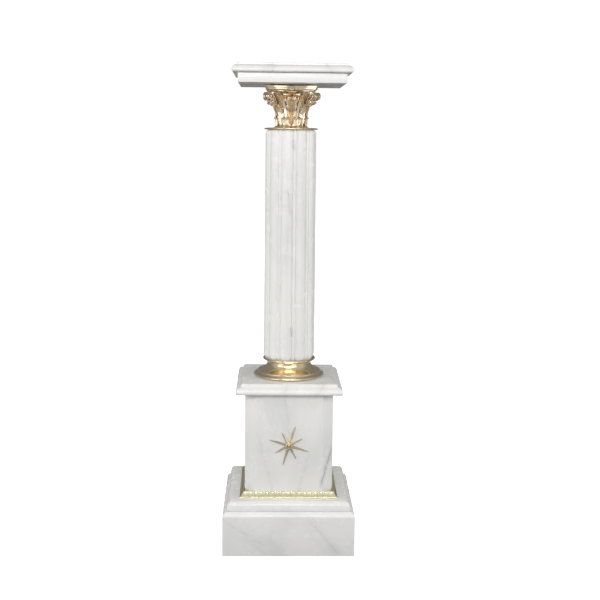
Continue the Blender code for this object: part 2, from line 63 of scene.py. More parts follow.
def height(node):
    """The lowest and highest point of a CAD node."""
    low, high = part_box(node)
    return low.z, high.z


def half_width(node):
    low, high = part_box(node)
    return (high.x - low.x) / 2


def arc(centre, radii, start, end, steps):
    """Points on an ellipse's arc, angles in degrees from the first axis towards the second."""
    points = []
    for i in range(steps + 1):
        angle = math.radians(start + (end - start) * i / steps)
        points.append((centre[0] + radii[0] * math.cos(angle), centre[1] + radii[1] * math.sin(angle)))
    return points


def eased(outline, reach=ARRIS, steps=3, limit=30, closed=False):
    """The outline with each corner sharper than limit degrees rounded over."""
    points = [Vector(p) for p in outline]
    count = len(points)
    made = []
    for i, point in enumerate(points):
        if not closed and i in (0, count - 1):
            made.append(tuple(point))
            continue
        before, after = points[i - 1] - point, points[(i + 1) % count] - point
        turn = 180 - math.degrees(before.angle(after))
        if turn < limit:
            made.append(tuple(point))
            continue
        size = min(reach, before.length * 0.4, after.length * 0.4)
        first, last = point + before.normalized() * size, point + after.normalized() * size
        for k in range(steps + 1):
            t = k / steps
            made.append(tuple((1 - t) ** 2 * first + 2 * t * (1 - t) * point + t * t * last))
    return made


def smooth_path(points, count):
    """A Catmull-Rom curve through the points, as count + 1 points."""
    points = [Vector(p) for p in points]
    ends = [2 * points[0] - points[1], *points, 2 * points[-1] - points[-2]]
    made = []
    for i in range(count + 1):
        place = (len(points) - 1) * i / count
        k = min(int(place), len(points) - 2)
        t = place - k
        a, b, c, d = ends[k:k + 4]
        made.append(0.5 * (2 * b + (c - a) * t + (2 * a - 5 * b + 4 * c - d) * t ** 2
                           + (3 * b - a - 3 * c + d) * t ** 3))
    return made


def interpolate(stops, x):
    """Reads a value between (position, value) stops, eased from one to the next."""
    for (x0, y0), (x1, y1) in zip(stops, stops[1:]):
        if x <= x1:
            t = min(max((x - x0) / (x1 - x0), 0), 1)
            return y0 + (y1 - y0) * t * t * (3 - 2 * t)
    return stops[-1][1]


def finish(name, bm, material, body, slot, *nodes, degrees=38):
    """Makes the bmesh a smooth shaded piece that rides on its body and stands for its CAD nodes."""
    bmesh.ops.recalc_face_normals(bm, faces=bm.faces)
    mesh = bpy.data.meshes.new(name)
    bm.to_mesh(mesh)
    bm.free()
    piece = bpy.data.objects.new(name, mesh)
    bpy.context.scene.collection.objects.link(piece)
    mesh.materials.append(material)
    mesh.shade_smooth()
    mesh.set_sharp_from_angle(angle=math.radians(degrees))
    return adopt(piece, body, slot, *nodes)


def adopt(piece, body, slot, *nodes):
    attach(piece, body)
    if nodes:
        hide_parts(*nodes)
    return piece


def skin(bm, rings, closed_ring=True, closed_path=False, caps=True):
    """Quads between rings of as many points each."""
    rows = [[bm.verts.new(p) for p in ring] for ring in rings]
    count = len(rows[0])
    around = count if closed_ring else count - 1
    pairs = list(zip(rows, rows[1:]))
    if closed_path:
        pairs.append((rows[-1], rows[0]))
    for low, high in pairs:
        for i in range(around):
            j = (i + 1) % count
            bm.faces.new((low[i], low[j], high[j], high[i]))
    if caps and not closed_path:
        bm.faces.new(rows[0])
        bm.faces.new(rows[-1])
    return rows


def turned(bm, profile, steps=96, centre=(0, 0, 0)):
    """A closed profile of (radius, height) turned about an upright axis."""
    rings = []
    for k in range(steps):
        c, s = math.cos(2 * math.pi * k / steps), math.sin(2 * math.pi * k / steps)
        rings.append([(centre[0] + r * c, centre[1] + r * s, centre[2] + z) for r, z in profile])
    skin(bm, rings, closed_path=True)


def square_ring(half, z, corner, steps=4):
    """A square of points with rounded corners."""
    ring = []
    for k in range(4):
        for i in range(steps + 1):
            angle = math.pi / 2 * (k + i / steps)
            cx = math.copysign(half - corner, math.cos(math.pi / 4 + k * math.pi / 2))
            cy = math.copysign(half - corner, math.sin(math.pi / 4 + k * math.pi / 2))
            ring.append((cx + corner * math.cos(angle), cy + corner * math.sin(angle), z))
    return ring


def bore(piece, cutters):
    """Cuts upright round holes, given as (radius, low, high), and bakes the cuts into the mesh."""
    for number, (radius, low, high) in enumerate(cutters):
        bm = bmesh.new()
        bmesh.ops.create_cone(
            bm, cap_ends=True, segments=48, radius1=radius, radius2=radius, depth=high - low,
            matrix=Matrix.Translation((0, 0, (low + high) / 2)),
        )
        mesh = bpy.data.meshes.new("hole")
        bm.to_mesh(mesh)
        bm.free()
        cutter = bpy.data.objects.new("hole", mesh)
        bpy.context.scene.collection.objects.link(cutter)
        cut = piece.modifiers.new(f"hole_{number}", "BOOLEAN")
        cut.operation = "DIFFERENCE"
        cut.solver = "EXACT"
        cut.object = cutter
        bpy.context.view_layer.update()
        graph = bpy.context.evaluated_depsgraph_get()
        result = bpy.data.meshes.new_from_object(piece.evaluated_get(graph))
        piece.modifiers.clear()
        piece.data = result
        bpy.data.objects.remove(cutter)
        bpy.data.meshes.remove(mesh)
    piece.data.shade_smooth()
    piece.data.set_sharp_from_angle(angle=math.radians(38))
    return piece


# ---------------------------------------------------------------- materials

class Shader:
    """A small helper that builds a Principled material from nodes."""

    def __init__(self, name):
        self.material = bpy.data.materials.new(name)
        self.material.use_nodes = True
        self.tree = self.material.node_tree
        self.surface = self.tree.nodes["Principled BSDF"]
        self.place = self.node("ShaderNodeTexCoord").outputs["Object"]

    def node(self, kind, **settings):
        made = self.tree.nodes.new(kind)
        for key, value in settings.items():
            setattr(made, key, value)
        return made

    def feed(self, socket, value):
        if isinstance(value, bpy.types.NodeSocket):
            self.tree.links.new(value, socket)
        elif value is not None:
            socket.default_value = value

    def set(self, **values):
        """Sets or links the surface's sockets; an underscore in a name stands for a space."""
        for key, value in values.items():
            self.feed(self.surface.inputs[key.replace("_", " ")], value)
        return self

    def maths(self, operation, a, b=None, c=None, clamp=False):
        made = self.node("ShaderNodeMath", operation=operation, use_clamp=clamp)
        for socket, value in zip(made.inputs, (a, b, c)):
            self.feed(socket, value)
        return made.outputs[0]

    def vector(self, operation, a, b=None, scale=None):
        made = self.node("ShaderNodeVectorMath", operation=operation)
        self.feed(made.inputs[0], a)
        self.feed(made.inputs[1], b)
        if scale is not None:
            self.feed(made.inputs["Scale"], scale)
        return made.outputs["Value" if operation in ("DOT_PRODUCT", "LENGTH", "DISTANCE") else "Vector"]

    def noise(self, scale, detail=3, roughness=0.55, place=None, distortion=0, colour=False):
        made = self.node("ShaderNodeTexNoise")
        self.feed(made.inputs["Vector"], self.place if place is None else place)
        for key, value in (("Scale", scale), ("Detail", detail), ("Roughness", roughness),
                           ("Distortion", distortion)):
            made.inputs[key].default_value = value
        return made.outputs["Color" if colour else "Fac"]

    def span(self, value, from_low, from_high, to_low=0, to_high=1, smooth=True):
        made = self.node("ShaderNodeMapRange", interpolation_type="SMOOTHSTEP" if smooth else "LINEAR")
        self.feed(made.inputs[0], value)
        for index, number in enumerate((from_low, from_high, to_low, to_high), 1):
            made.inputs[index].default_value = number
        return made.outputs[0]

    def mix(self, share, first, second):
        made = self.node("ShaderNodeMix", data_type="RGBA")
        self.feed(made.inputs["Factor"], share)
        self.feed(made.inputs[6], first)
        self.feed(made.inputs[7], second)
        return made.outputs[2]

    def bump(self, value, strength, distance=0.001):
        made = self.node("ShaderNodeBump")
        made.inputs["Strength"].default_value = strength
        made.inputs["Distance"].default_value = distance
        self.feed(made.inputs["Height"], value)
        self.feed(self.surface.inputs["Normal"], made.outputs[0])
        return self


WHITE = (0.86, 0.855, 0.835, 1)
CLOUD = (0.70, 0.705, 0.70, 1)
VEIN = (0.36, 0.36, 0.355, 1)


def drift(s, spot, reach, scale, detail, roughness=0.55):
    """An offset that strays from zero, by reach times a colour noise."""
    stray = s.noise(scale, detail, roughness, colour=True, place=spot)
    return s.vector("SCALE", s.vector("SUBTRACT", stray, (0.5, 0.5, 0.5)), scale=reach)


def soft_clouds(s, spot, figure, strength):
    """Grey patches, and bands drawn out along the stone's figure."""
    bands = s.span(s.noise(11, 4, 0.6, place=figure), 0.47, 0.72)
    patches = s.span(s.noise(5, 3, 0.5, place=spot), 0.45, 0.75)
    both = s.maths("MULTIPLY_ADD", patches, 0.6, s.maths("MULTIPLY", bands, 0.6))
    return s.maths("MULTIPLY", both, strength, clamp=True)


def fine_threads(s, spot, figure, strength):
    """Thin dark lines along the figure, here and there."""
    ridge = s.maths("ABSOLUTE", s.maths("SUBTRACT", s.noise(13, 5, 0.6, place=figure), 0.5))
    gate = s.span(s.noise(9, 2, place=spot), 0.52, 0.70)
    return s.maths("MULTIPLY", s.maths("MULTIPLY", s.span(ridge, 0.0, 0.022, 1, 0), gate), strength)


def single_vein(s, wander, breaks, normal, point, width, strength, reach):
    """A broken line with a faint halo in the plane through a point, faded out at reach from it."""
    offset = s.vector("DOT_PRODUCT", s.vector("SUBTRACT", wander, point), Vector(normal).normalized())
    away = s.maths("ABSOLUTE", offset)
    near = s.span(s.vector("DISTANCE", s.place, point), reach * 0.55, reach, 1, 0)
    line = s.maths("MULTIPLY", s.span(away, 0, width, strength, 0), s.maths("MULTIPLY", near, breaks))
    halo = s.maths("MULTIPLY", s.span(away, 0, width * 4, strength * 0.35, 0), near)
    return s.maths("MAXIMUM", line, halo)


def marble(name, shift, lean=(0.9, 0.1, 0.42), cloud=0.55, fine=0.35, veins=()):
    """Polished white marble. shift moves the figure, lean is the normal of its soft bands, and veins are
    single ones: (normal, point on it, width, strength, reach round that point)."""
    s = Shader(name)
    lean = Vector(lean).normalized()
    spot = s.vector("ADD", s.place, shift)
    bent = s.vector("ADD", spot, drift(s, spot, 0.10, 6, 3))
    bent = s.vector("ADD", bent, drift(s, spot, 0.006, 38, 3))
    along = s.vector("DOT_PRODUCT", bent, lean)
    figure = s.vector("ADD", s.vector("SCALE", bent, scale=0.55), s.vector("SCALE", lean, scale=along))
    colour = s.mix(soft_clouds(s, spot, figure, cloud), WHITE, CLOUD)
    colour = s.mix(fine_threads(s, spot, figure, fine), colour, VEIN)
    wander = s.vector("ADD", s.place, drift(s, spot, 0.016, 24, 4, 0.6))
    breaks = s.span(s.noise(70, 2, place=spot), 0.25, 0.6, 0.25, 1)
    for vein in veins:
        colour = s.mix(single_vein(s, wander, breaks, *vein), colour, VEIN)
    rough = s.span(s.noise(30, 4, place=spot), 0.3, 0.7, 0.20, 0.30, smooth=False)
    s.set(Base_Color=colour, Roughness=rough, IOR=1.5, Subsurface_Weight=0.06,
          Subsurface_Radius=(0.004, 0.0035, 0.003), Subsurface_Scale=1.0)
    s.bump(s.noise(220, 3, place=spot), 0.03, 0.0006)
    return s.material


# The darker gold of this pair is painted shade, with patina, for the gilt's hollows.
GOLD, SHADE_AND_PATINA_GOLD = (0.92, 0.78, 0.55, 1), (0.48, 0.35, 0.20, 1)
WORN_GOLD, SPECK = (0.82, 0.66, 0.44, 1), (0.50, 0.36, 0.19, 1)


def gilt(name, colour=GOLD, hollow_shade_and_patina=SHADE_AND_PATINA_GOLD, rough=0.13, reach=0.005, grain=0.06):
    """Polished gilt bronze, browner and duller in hollows narrower than about reach: the browner colour there
    is painted shade, with patina, found by ambient occlusion.
    """
    s = Shader(name)
    # painted shade with patina: where ambient occlusion finds a hollow, the colour darkens towards the third
    # colour given
    hollow = s.node("ShaderNodeAmbientOcclusion", samples=6)
    hollow.inputs["Distance"].default_value = reach
    shade = s.span(hollow.outputs["AO"], 0.25, 0.85, 1, 0)
    worn = s.noise(45, 4, 0.6)
    tone = s.mix(s.span(worn, 0.35, 0.75, 0, 0.35), colour, WORN_GOLD)
    tone = s.mix(s.maths("MULTIPLY", shade, 0.85), tone, hollow_shade_and_patina)
    specks = s.span(s.noise(420, 2, 0.7), 0.66, 0.78, 0, 0.5)
    tone = s.mix(specks, tone, SPECK)
    dull = s.maths("ADD", s.span(worn, 0.3, 0.7, rough - 0.05, rough + 0.08, smooth=False),
                   s.maths("MULTIPLY", shade, 0.22))
    s.set(Base_Color=tone, Metallic=1.0, Roughness=dull)
    s.bump(s.noise(160, 4, 0.6), grain, 0.0004)
    return s.material


def metal(name, colour, dark, rough, lines=900):
    """Turned or zinc plated hardware: fine lines round the axis and a few dark spots."""
    s = Shader(name)
    spread = s.vector("MULTIPLY", s.place, (60, 60, lines))
    brushed = s.noise(1.0, 2, 0.5, place=spread)
    spots = s.span(s.noise(160, 3), 0.58, 0.75)
    s.set(Base_Color=s.mix(spots, colour, dark), Metallic=1.0,
          Roughness=s.span(brushed, 0.3, 0.7, rough - 0.07, rough + 0.10, smooth=False))
    s.bump(brushed, 0.12, 0.0002)
    return s.material


def nylon():
    s = Shader("nylon")
    mottle = s.noise(300, 3)
    s.set(Base_Color=s.mix(mottle, (0.80, 0.78, 0.70, 1), (0.70, 0.68, 0.60, 1)),
          Roughness=s.span(mottle, 0.3, 0.7, 0.42, 0.55, smooth=False))
    s.bump(mottle, 0.1, 0.0003)
    return s.material


# The third colour of each gilt is the painted shade and patina of its hollows.
GILT = gilt("gilt_turned")
CHASED = gilt("gilt_chased", (0.94, 0.80, 0.62, 1), (0.36, 0.26, 0.16, 1), 0.20, grain=0.12)
# painted highlight: the strips' gilt is a paler, brighter copy of the turned gilt, for the light the strips
# catch as they face up towards the lamps
HIGHLIT_STRIP_GILT = gilt("gilt_strip_painted_highlight", (1.0, 0.94, 0.66, 1), (0.66, 0.54, 0.30, 1), 0.28, reach=0.003, grain=0.15)
ANTIQUE = gilt("gilt_antique", (0.66, 0.58, 0.44, 1), (0.20, 0.15, 0.09, 1), 0.30, reach=0.004)
BRASS = metal("brass_screws", (0.62, 0.47, 0.22, 1), (0.30, 0.21, 0.09, 1), 0.32)
STEEL = metal("zinc_steel", (0.58, 0.59, 0.60, 1), (0.35, 0.35, 0.34, 1), 0.34)
BEARING = metal("bearing_bronze", (0.66, 0.46, 0.22, 1), (0.38, 0.25, 0.11, 1), 0.30)
NYLON = nylon()


# ---------------------------------------------------------------- marble pieces

def moulded_slab(name, profile, material, body=BASE, corner=ARRIS, bores=()):
    """A square slab from a profile of (half side, height) that runs from its top down."""
    bm = bmesh.new()
    skin(bm, [square_ring(half, z, corner) for half, z in profile])
    piece = finish(name, bm, material, body, "marble", name)
    return bore(piece, bores)


def nosed(node, band, fillet, ledge=0.0010, under=0.0040):
    """The slabs' profile: a band at the top, a ledge and a nosing that is rounded under."""
    low, high = height(node)
    half = half_width(node)
    shelf = high - fillet
    nose = arc((band + ledge, low + under), (half - band - ledge, shelf - low - under), 90, 0, 12)
    below = arc((half - under, low + under), (under, under), -8, -90, 8)
    top = eased([(band - 0.01, high), (band, high), (band, shelf), (band + ledge, shelf)], limit=20)
    return [*top, *nose[1:], *below]


BLOCK_ROUND = 0.011
MOULDING_TOP_HALF, MOULDING_BAND = 0.1170, 0.0120
DIE_HALF, DIE_CHAMFER = 0.092, 0.022
DIE_EASE = [(0.0006, 0), (0.0001, 0.0004), (0, 0.001)]      # (drawn in, distance from its end)
CAP_BAND_HALF, CAP_FILLET = 0.0988, 0.0060
TOP_BAND_HALF, TOP_FILLET = 0.1085, 0.0045
BED_RECESS, BED_EASE = 0.0105, 0.0016
INWARD = 0.02                       # a slab's flat faces start this far in from its edges


def make_base_block():
    low, high = height("base_block")
    half, rounding = half_width("base_block"), BLOCK_ROUND
    edge = arc((half - rounding, high - rounding), (rounding, rounding), 90, 0, 10)
    foot = eased([edge[-1], (half, low), (half - INWARD, low)])
    stone = marble("marble_block", (1.3, 0.4, 2.1), lean=(0.62, 0.05, 0.78), cloud=0.80, fine=0.12, veins=[
        ((0.55, 0, 0.84), (-0.095, -0.135, 0.052), 0.006, 0.18, 0.07),
        ((0.75, 0, 0.66), (0.075, -0.135, 0.040), 0.003, 0.25, 0.06),
    ])
    moulded_slab("base_block", [*edge, *foot[1:]], stone, corner=0.0014,
                 bores=[(ROD_BORE, *THROUGH), (NUT_RECESS, -0.01, NUT_RECESS_TOP)])


def make_base_moulding():
    low, high = height("base_moulding")
    half, top_half = half_width("base_moulding"), MOULDING_TOP_HALF
    shelf = high - MOULDING_BAND
    ovolo = arc((top_half, shelf), (half - top_half - 0.001, high - shelf), 90, 0, 12)
    side = eased([(half - 0.001, shelf), (half, shelf), (half, low), (half - INWARD, low)], limit=20)
    stone = marble("marble_moulding", (4.1, 2.2, 0.3), lean=(0.3, 0.2, 0.9), cloud=0.35, fine=0.10)
    moulded_slab("base_moulding", [(top_half - INWARD, high), *ovolo, *side[1:]], stone,
                 bores=[(ROD_BORE, *THROUGH)])


def die_outline(inset):
    """The die's square with cut corners, drawn in evenly by inset."""
    half, chamfer = DIE_HALF - inset, DIE_CHAMFER - inset * (2 - math.sqrt(2))
    inner = half - chamfer
    corners = [(half, -inner), (half, inner), (inner, half), (-inner, half)]
    return eased(corners + [(-x, -y) for x, y in corners], reach=0.0012, closed=True)


def make_die():
    low, high = height("die")
    sections = [(inset, low + rise) for inset, rise in DIE_EASE]
    sections += [(inset, high - rise) for inset, rise in reversed(DIE_EASE)]
    bm = bmesh.new()
    skin(bm, [[(x, y, z) for x, y in die_outline(inset)] for inset, z in sections])
    stone = marble("marble_die", (0.2, 3.3, 1.1), lean=(0.88, 0.25, 0.16), cloud=0.62, fine=0.12, veins=[
        ((0.958, 0.10, -0.284), (0.079, -0.083, 0.175), 0.0024, 0.80, 0.055),
        ((0.99, 0.05, 0.12), (-0.004, -0.092, 0.290), 0.0070, 0.16, 0.075),
        ((0.97, 0.05, -0.22), (0.030, -0.092, 0.160), 0.0090, 0.20, 0.070),
        ((0.96, 0.05, 0.26), (-0.050, -0.092, 0.190), 0.0080, 0.15, 0.080),
    ])
    piece = finish("die", bm, stone, BASE, "marble", "die")
    bore(piece, [(ROD_BORE, *THROUGH)])


def make_die_cap():
    profile = nosed("die_cap", CAP_BAND_HALF, CAP_FILLET)
    stone = marble("marble_cap", (2.7, 1.9, 3.4), lean=(0.8, 0.1, 0.5), cloud=0.40, fine=0.12, veins=[
        ((0.80, 0.10, -0.60), (0.062, -0.106, 0.343), 0.0036, 0.34, 0.034),
        ((0.80, 0.20, -0.52), (0.088, -0.050, 0.350), 0.0050, 0.25, 0.050),
        ((0.86, 0.10, -0.50), (-0.010, -0.106, 0.340), 0.0040, 0.20, 0.030),
    ])
    moulded_slab("die_cap", profile, stone, bores=[(ROD_BORE, *THROUGH)])


def make_top():
    """The two slabs that turn together: a plain one, and a moulded one on it."""
    low, high = height("bed_slab")
    half = half_width("bed_slab")
    side = eased([(half - INWARD, high), (half, high), (half, low), (half - INWARD, low)], reach=BED_EASE)
    stone = marble("marble_bed", (5.2, 0.7, 1.6), lean=(0.5, 0.3, 0.8), cloud=0.25, fine=0.10)
    moulded_slab("bed_slab", side, stone, TOP,
                 bores=[(PIVOT_BORE, *THROUGH), (CLAMP_RECESS, high - BED_RECESS, 1.1)])
    stone = marble("marble_top", (6.4, 5.1, 0.9), lean=(0.9, 0.2, 0.35), cloud=0.50, fine=0.15, veins=[
        ((0.85, 0.15, 0.5), (0.072, -0.118, 0.988), 0.0050, 0.26, 0.035),
        ((0.85, 0.15, -0.5), (-0.050, -0.118, 0.990), 0.0060, 0.18, 0.030),
        ((0.90, 0.35, 0.1), (-0.060, -0.060, 1.0), 0.0040, 0.30, 0.10),
    ])
    moulded_slab("top_slab", nosed("top_slab", TOP_BAND_HALF, TOP_FILLET), stone, TOP)


REEDS, REED_TURN = 10, math.radians(8.5)        # the first bead stands this far right of the front
REED_BEAD = math.radians(4.3)                   # half of a bead's angle
BEAD_DEPTH, BEAD_ROUND, REED_DEPTH = 0.0015, 0.0027, 0.0046
SHAFT_RADIUS, SHAFT_TAPER = 0.0542, 0.0015
TOE_IN, TOE_HEIGHT = 0.0065, 0.0150             # the shaft draws in by this much over this height
HEAD_IN, HEAD_HEIGHT = 0.0050, 0.0070
END_STEPS = 8


def reed_depth(angle):
    """How far the shaft's surface lies under its full radius: broad reeds with a bead in each groove."""
    step = 2 * math.pi / REEDS
    x = (angle + math.pi / 2 - REED_TURN + step / 2) % step - step / 2
    if abs(x) < REED_BEAD:
        return BEAD_DEPTH + BEAD_ROUND * (x / REED_BEAD) ** 2
    t = (abs(x) - step / 2) / (step / 2 - REED_BEAD)
    return REED_DEPTH * abs(t) ** 3


def make_shaft():
    """Sections closer together at the two ends, where the reeds draw in."""
    low, high = height("column_shaft")
    shares = [i / END_STEPS for i in range(END_STEPS + 1)]
    rows = [(TOE_IN * (1 - t) ** 2, low + TOE_HEIGHT * t) for t in shares]
    rows += [(HEAD_IN * t ** 2, high - HEAD_HEIGHT * (1 - t)) for t in shares]
    count = 36 * REEDS
    rings = []
    for inset, z in rows:
        radius = SHAFT_RADIUS - SHAFT_TAPER * (z - low) / (high - low) - inset
        ring = []
        for k in range(count):
            angle = 2 * math.pi * k / count
            r = radius - reed_depth(angle)
            ring.append((r * math.cos(angle), r * math.sin(angle), z))
        rings.append(ring)
    bm = bmesh.new()
    skin(bm, rings)
    stone = marble("marble_shaft", (3.6, 4.4, 0.0), lean=(0.97, 0.2, 0.10), cloud=0.62, fine=0.15, veins=[
        ((0.978, 0.05, 0.206), (-0.0045, -0.054, 0.723), 0.0014, 0.55, 0.032),
        ((0.99, 0.05, 0.08), (0.0045, -0.053, 0.840), 0.0022, 0.55, 0.014),
        ((0.99, 0.05, 0.08), (0.0045, -0.053, 0.456), 0.0024, 0.45, 0.014),
        ((0.98, 0.10, -0.14), (-0.012, -0.052, 0.600), 0.0050, 0.16, 0.110),
        ((0.98, 0.10, 0.10), (0.028, -0.046, 0.700), 0.0060, 0.14, 0.160),
    ])
    piece = finish("column_shaft", bm, stone, BASE, "marble", "column_shaft", degrees=30)
    bore(piece, [(ROD_BORE, *THROUGH)])


# ---------------------------------------------------------------- turned bronze

def bend(start, control, end, steps):
    """Points on a quadratic curve, without its first one."""
    points = []
    for i in range(1, steps + 1):
        s = i / steps
        pull, hold, reach = (1 - s) ** 2, 2 * s * (1 - s), s * s
        points.append(tuple(pull * a + hold * b + reach * c for a, b, c in zip(start, control, end)))
    return points


LIP_RADIUS, LIP_BEAD, NECK_RADIUS = 0.0527, 0.0028, 0.0462
NECK_RISE, SWEEP_RISE = 0.0270, 0.0162          # the neck's narrowest level, and the control point under it
CROWN_RADIUS, CROWN_RISE, CROWN_BEAD = 0.0656, 0.0096, 0.0012       # the ridge where the sweep ends
FOOT_BEAD, FOOT_WALL = 0.0026, 0.0050
NECKING_SEAT, NECKING_BEAD = 0.0330, 0.0015


def make_foot():
    """The turned foot: a ring, a ridge, a long sweep up to the neck and a beaded lip."""
    low, high = height("column_foot")
    rim = half_width("column_foot") - FOOT_BEAD
    lip, neck = high - LIP_BEAD, (NECK_RADIUS, low + NECK_RISE)
    bead = arc((LIP_RADIUS, lip), (LIP_BEAD, LIP_BEAD), 90, -60, 12)
    crown = arc((CROWN_RADIUS, low + CROWN_RISE), (CROWN_BEAD, CROWN_BEAD), 80, -20, 6)
    outside = [
        *bead,
        *bend(bead[-1], (NECK_RADIUS, bead[-1][1] - 0.0008), neck, 10),
        *bend(neck, (NECK_RADIUS + 0.0008, low + SWEEP_RISE), crown[0], 24),
        *crown[1:],
        (CROWN_RADIUS + 0.0018, low + 0.0078), (CROWN_RADIUS + 0.0036, low + 0.0060),
        *arc((rim, low + FOOT_BEAD), (FOOT_BEAD, FOOT_BEAD), 110, -70, 12),
        (rim, low),
    ]
    web, seat = height("column_shaft")[0] - GLUE_GAP, LIP_RADIUS - LIP_BEAD
    inside = [(0.0680, low), (0.0630, low + 0.0050), (0.0480, low + 0.0090), (0.0410, low + 0.0180),
              (NECK_RADIUS - 0.0060, web - FOOT_WALL), (BRONZE_BORE, web - FOOT_WALL), (BRONZE_BORE, web),
              (seat - 0.0020, web), (seat, lip)]
    bm = bmesh.new()
    turned(bm, outside + inside, steps=144)
    finish("column_foot", bm, GILT, BASE, "gilt_bronze", "column_foot", degrees=30)


def make_necking():
    """A flange with a beaded rim, and a fillet up to the seat of the capital."""
    low, high = height("necking_ring")
    rim, bead = half_width("necking_ring") - NECKING_BEAD, (NECKING_BEAD, NECKING_BEAD)
    fillet = arc((NECKING_SEAT + 0.0045, high + 0.0012), (0.0044, 0.0040), 192, 262, 6)
    profile = [(BRONZE_BORE, high), (NECKING_SEAT, high), *fillet, (0.0480, low + 0.0036),
               *arc((rim, low + NECKING_BEAD), bead, 90, -90, 8), (BRONZE_BORE, low)]
    bm = bmesh.new()
    turned(bm, profile, steps=144)
    finish("necking_ring", bm, GILT, BASE, "gilt_bronze", "necking_ring", degrees=30)


# ---------------------------------------------------------------- capital

BELL_LOW, BELL_HIGH = height("capital_body")
BELL_WALL = 0.003


def bell_radius(z):
    """The bell is nearly straight, and flares towards its top."""
    t = (z - BELL_LOW) / (BELL_HIGH - BELL_LOW)
    return 0.0300 + 0.0012 * t + 0.0110 * max(t, 0) ** 4


def make_bell():
    rows = [BELL_LOW + (BELL_HIGH - BELL_LOW) * i / 16 for i in range(17)]
    outside = [(bell_radius(z), z) for z in reversed(rows)]
    inside = [(bell_radius(z) - BELL_WALL, z) for z in rows[::4]]
    bm = bmesh.new()
    turned(bm, outside + inside, steps=96)
    finish("capital_bell", bm, CHASED, BASE, "gilt_bronze", "capital_body")


def above(*points):
    """(distance from the axis, rise above the foot of the bell) as (distance, height)."""
    return [(r, BELL_LOW + rise) for r, rise in points]


MIDRIB_STEPS = 120
LEAF_THICK, BELL_RADIUS = 0.0011, 0.030     # a leaf spreads as if it lay on the bell's radius at least


def along_midrib(line, share):
    """The place at a share of the midrib's length, and the leaf's outward side there."""
    place = share * MIDRIB_STEPS
    k = min(int(place), MIDRIB_STEPS - 1)
    along = (line[k + 1] - line[k]).normalized()
    return line[k].lerp(line[k + 1], place - k), Vector((along.y, -along.x))


def leaf_relief(v, lobe, relief, rib, flutes):
    """How far the leaf stands out, v from -1 to 1 across it: lobes, a raised midrib and flutes."""
    lobes = relief * 0.5 * (lobe - 0.6) * abs(v)
    midrib = rib * math.exp(-(v / 0.12) ** 2)
    return lobes + midrib + relief * 0.8 * math.cos(flutes * math.pi * v) * (1 - abs(v) ** 4)


def leaf(name, azimuth, path, widths, lobes=5, relief=0.0010, rib=0.0010, flutes=7, steps=(48, 36)):
    """An acanthus leaf. path is its midrib as (distance from the axis, height), widths its half width along
    it, relief and rib how far its lobes and midrib stand out, and steps the rows along and across it."""
    line = smooth_path(path, MIDRIB_STEPS)
    rings = []
    for i in range(steps[0] + 1):
        u = i / steps[0]
        lobe = abs(math.sin(math.pi * lobes * (u * 0.94 + 0.03)))
        half = interpolate(widths, u) * (0.76 + 0.24 * lobe ** 0.7)
        front, back = [], []
        for j in range(steps[1] + 1):
            v = 2 * j / steps[1] - 1
            spot, outward = along_midrib(line, min(u + 0.10 * (1 - u) * abs(v) ** 1.4, 1))
            lift = leaf_relief(v, lobe, relief, rib, flutes)
            angle = azimuth + v * half / max(spot.x, BELL_RADIUS)
            for row, depth in ((front, lift), (back, lift - LEAF_THICK)):
                r = spot.x + outward.x * depth
                row.append((r * math.cos(angle), r * math.sin(angle), spot.y + outward.y * depth))
        rings.append(front + back[::-1])
    bm = bmesh.new()
    skin(bm, rings)
    finish(name, bm, CHASED, BASE, "gilt_bronze", degrees=60)


def make_leaves():
    """Four tall leaves to the faces, four under the corners and a low row of eight at the foot."""
    face = above((0.0314, 0), (0.0320, 0.0150), (0.0326, 0.0280), (0.0350, 0.0345), (0.0366, 0.0400),
                 (0.0385, 0.0460), (0.0415, 0.0530), (0.0452, 0.0575), (0.0480, 0.0575), (0.0488, 0.0545),
                 (0.0476, 0.0515))
    corner = above((0.0312, 0), (0.0320, 0.0150), (0.0330, 0.0270), (0.0380, 0.0345), (0.0450, 0.0395),
                   (0.0540, 0.0440), (0.0600, 0.0470), (0.0636, 0.0470), (0.0650, 0.0445))
    small = above((0.0318, 0), (0.0326, 0.0060), (0.0333, 0.0120), (0.0345, 0.0158), (0.0356, 0.0162),
                  (0.0360, 0.0146))
    face_widths = [(0, 0.0080), (0.25, 0.0105), (0.55, 0.0120), (0.75, 0.0095), (0.90, 0.0085), (1, 0.0045)]
    corner_widths = [(0, 0.0080), (0.25, 0.0110), (0.50, 0.0110), (0.75, 0.0085), (0.92, 0.0065),
                     (1, 0.0025)]
    small_widths = [(0, 0.0070), (0.4, 0.0095), (0.75, 0.0070), (1, 0.0025)]
    for k in range(4):
        quarter = k * math.pi / 2
        leaf(f"capital_face_leaf_{k + 1}", quarter, face, face_widths)
        leaf(f"capital_corner_leaf_{k + 1}", quarter + math.pi / 4, corner, corner_widths)
    for k in range(8):
        azimuth = (k + 0.5) * math.pi / 4
        leaf(f"capital_low_leaf_{k + 1}", azimuth, small, small_widths,
             lobes=3, relief=0.0007, rib=0.0006, flutes=5, steps=(26, 24))


def spiral(centre, radius_out, radius_in, turns, steps):
    """Points on a clockwise spiral that winds in from the top."""
    points = []
    for i in range(steps + 1):
        t = i / steps
        radius = radius_out + (radius_in - radius_out) * t ** 0.8
        angle = math.pi / 2 - 2 * math.pi * turns * t
        points.append((centre[0] + radius * math.cos(angle), centre[1] + radius * math.sin(angle)))
    return points


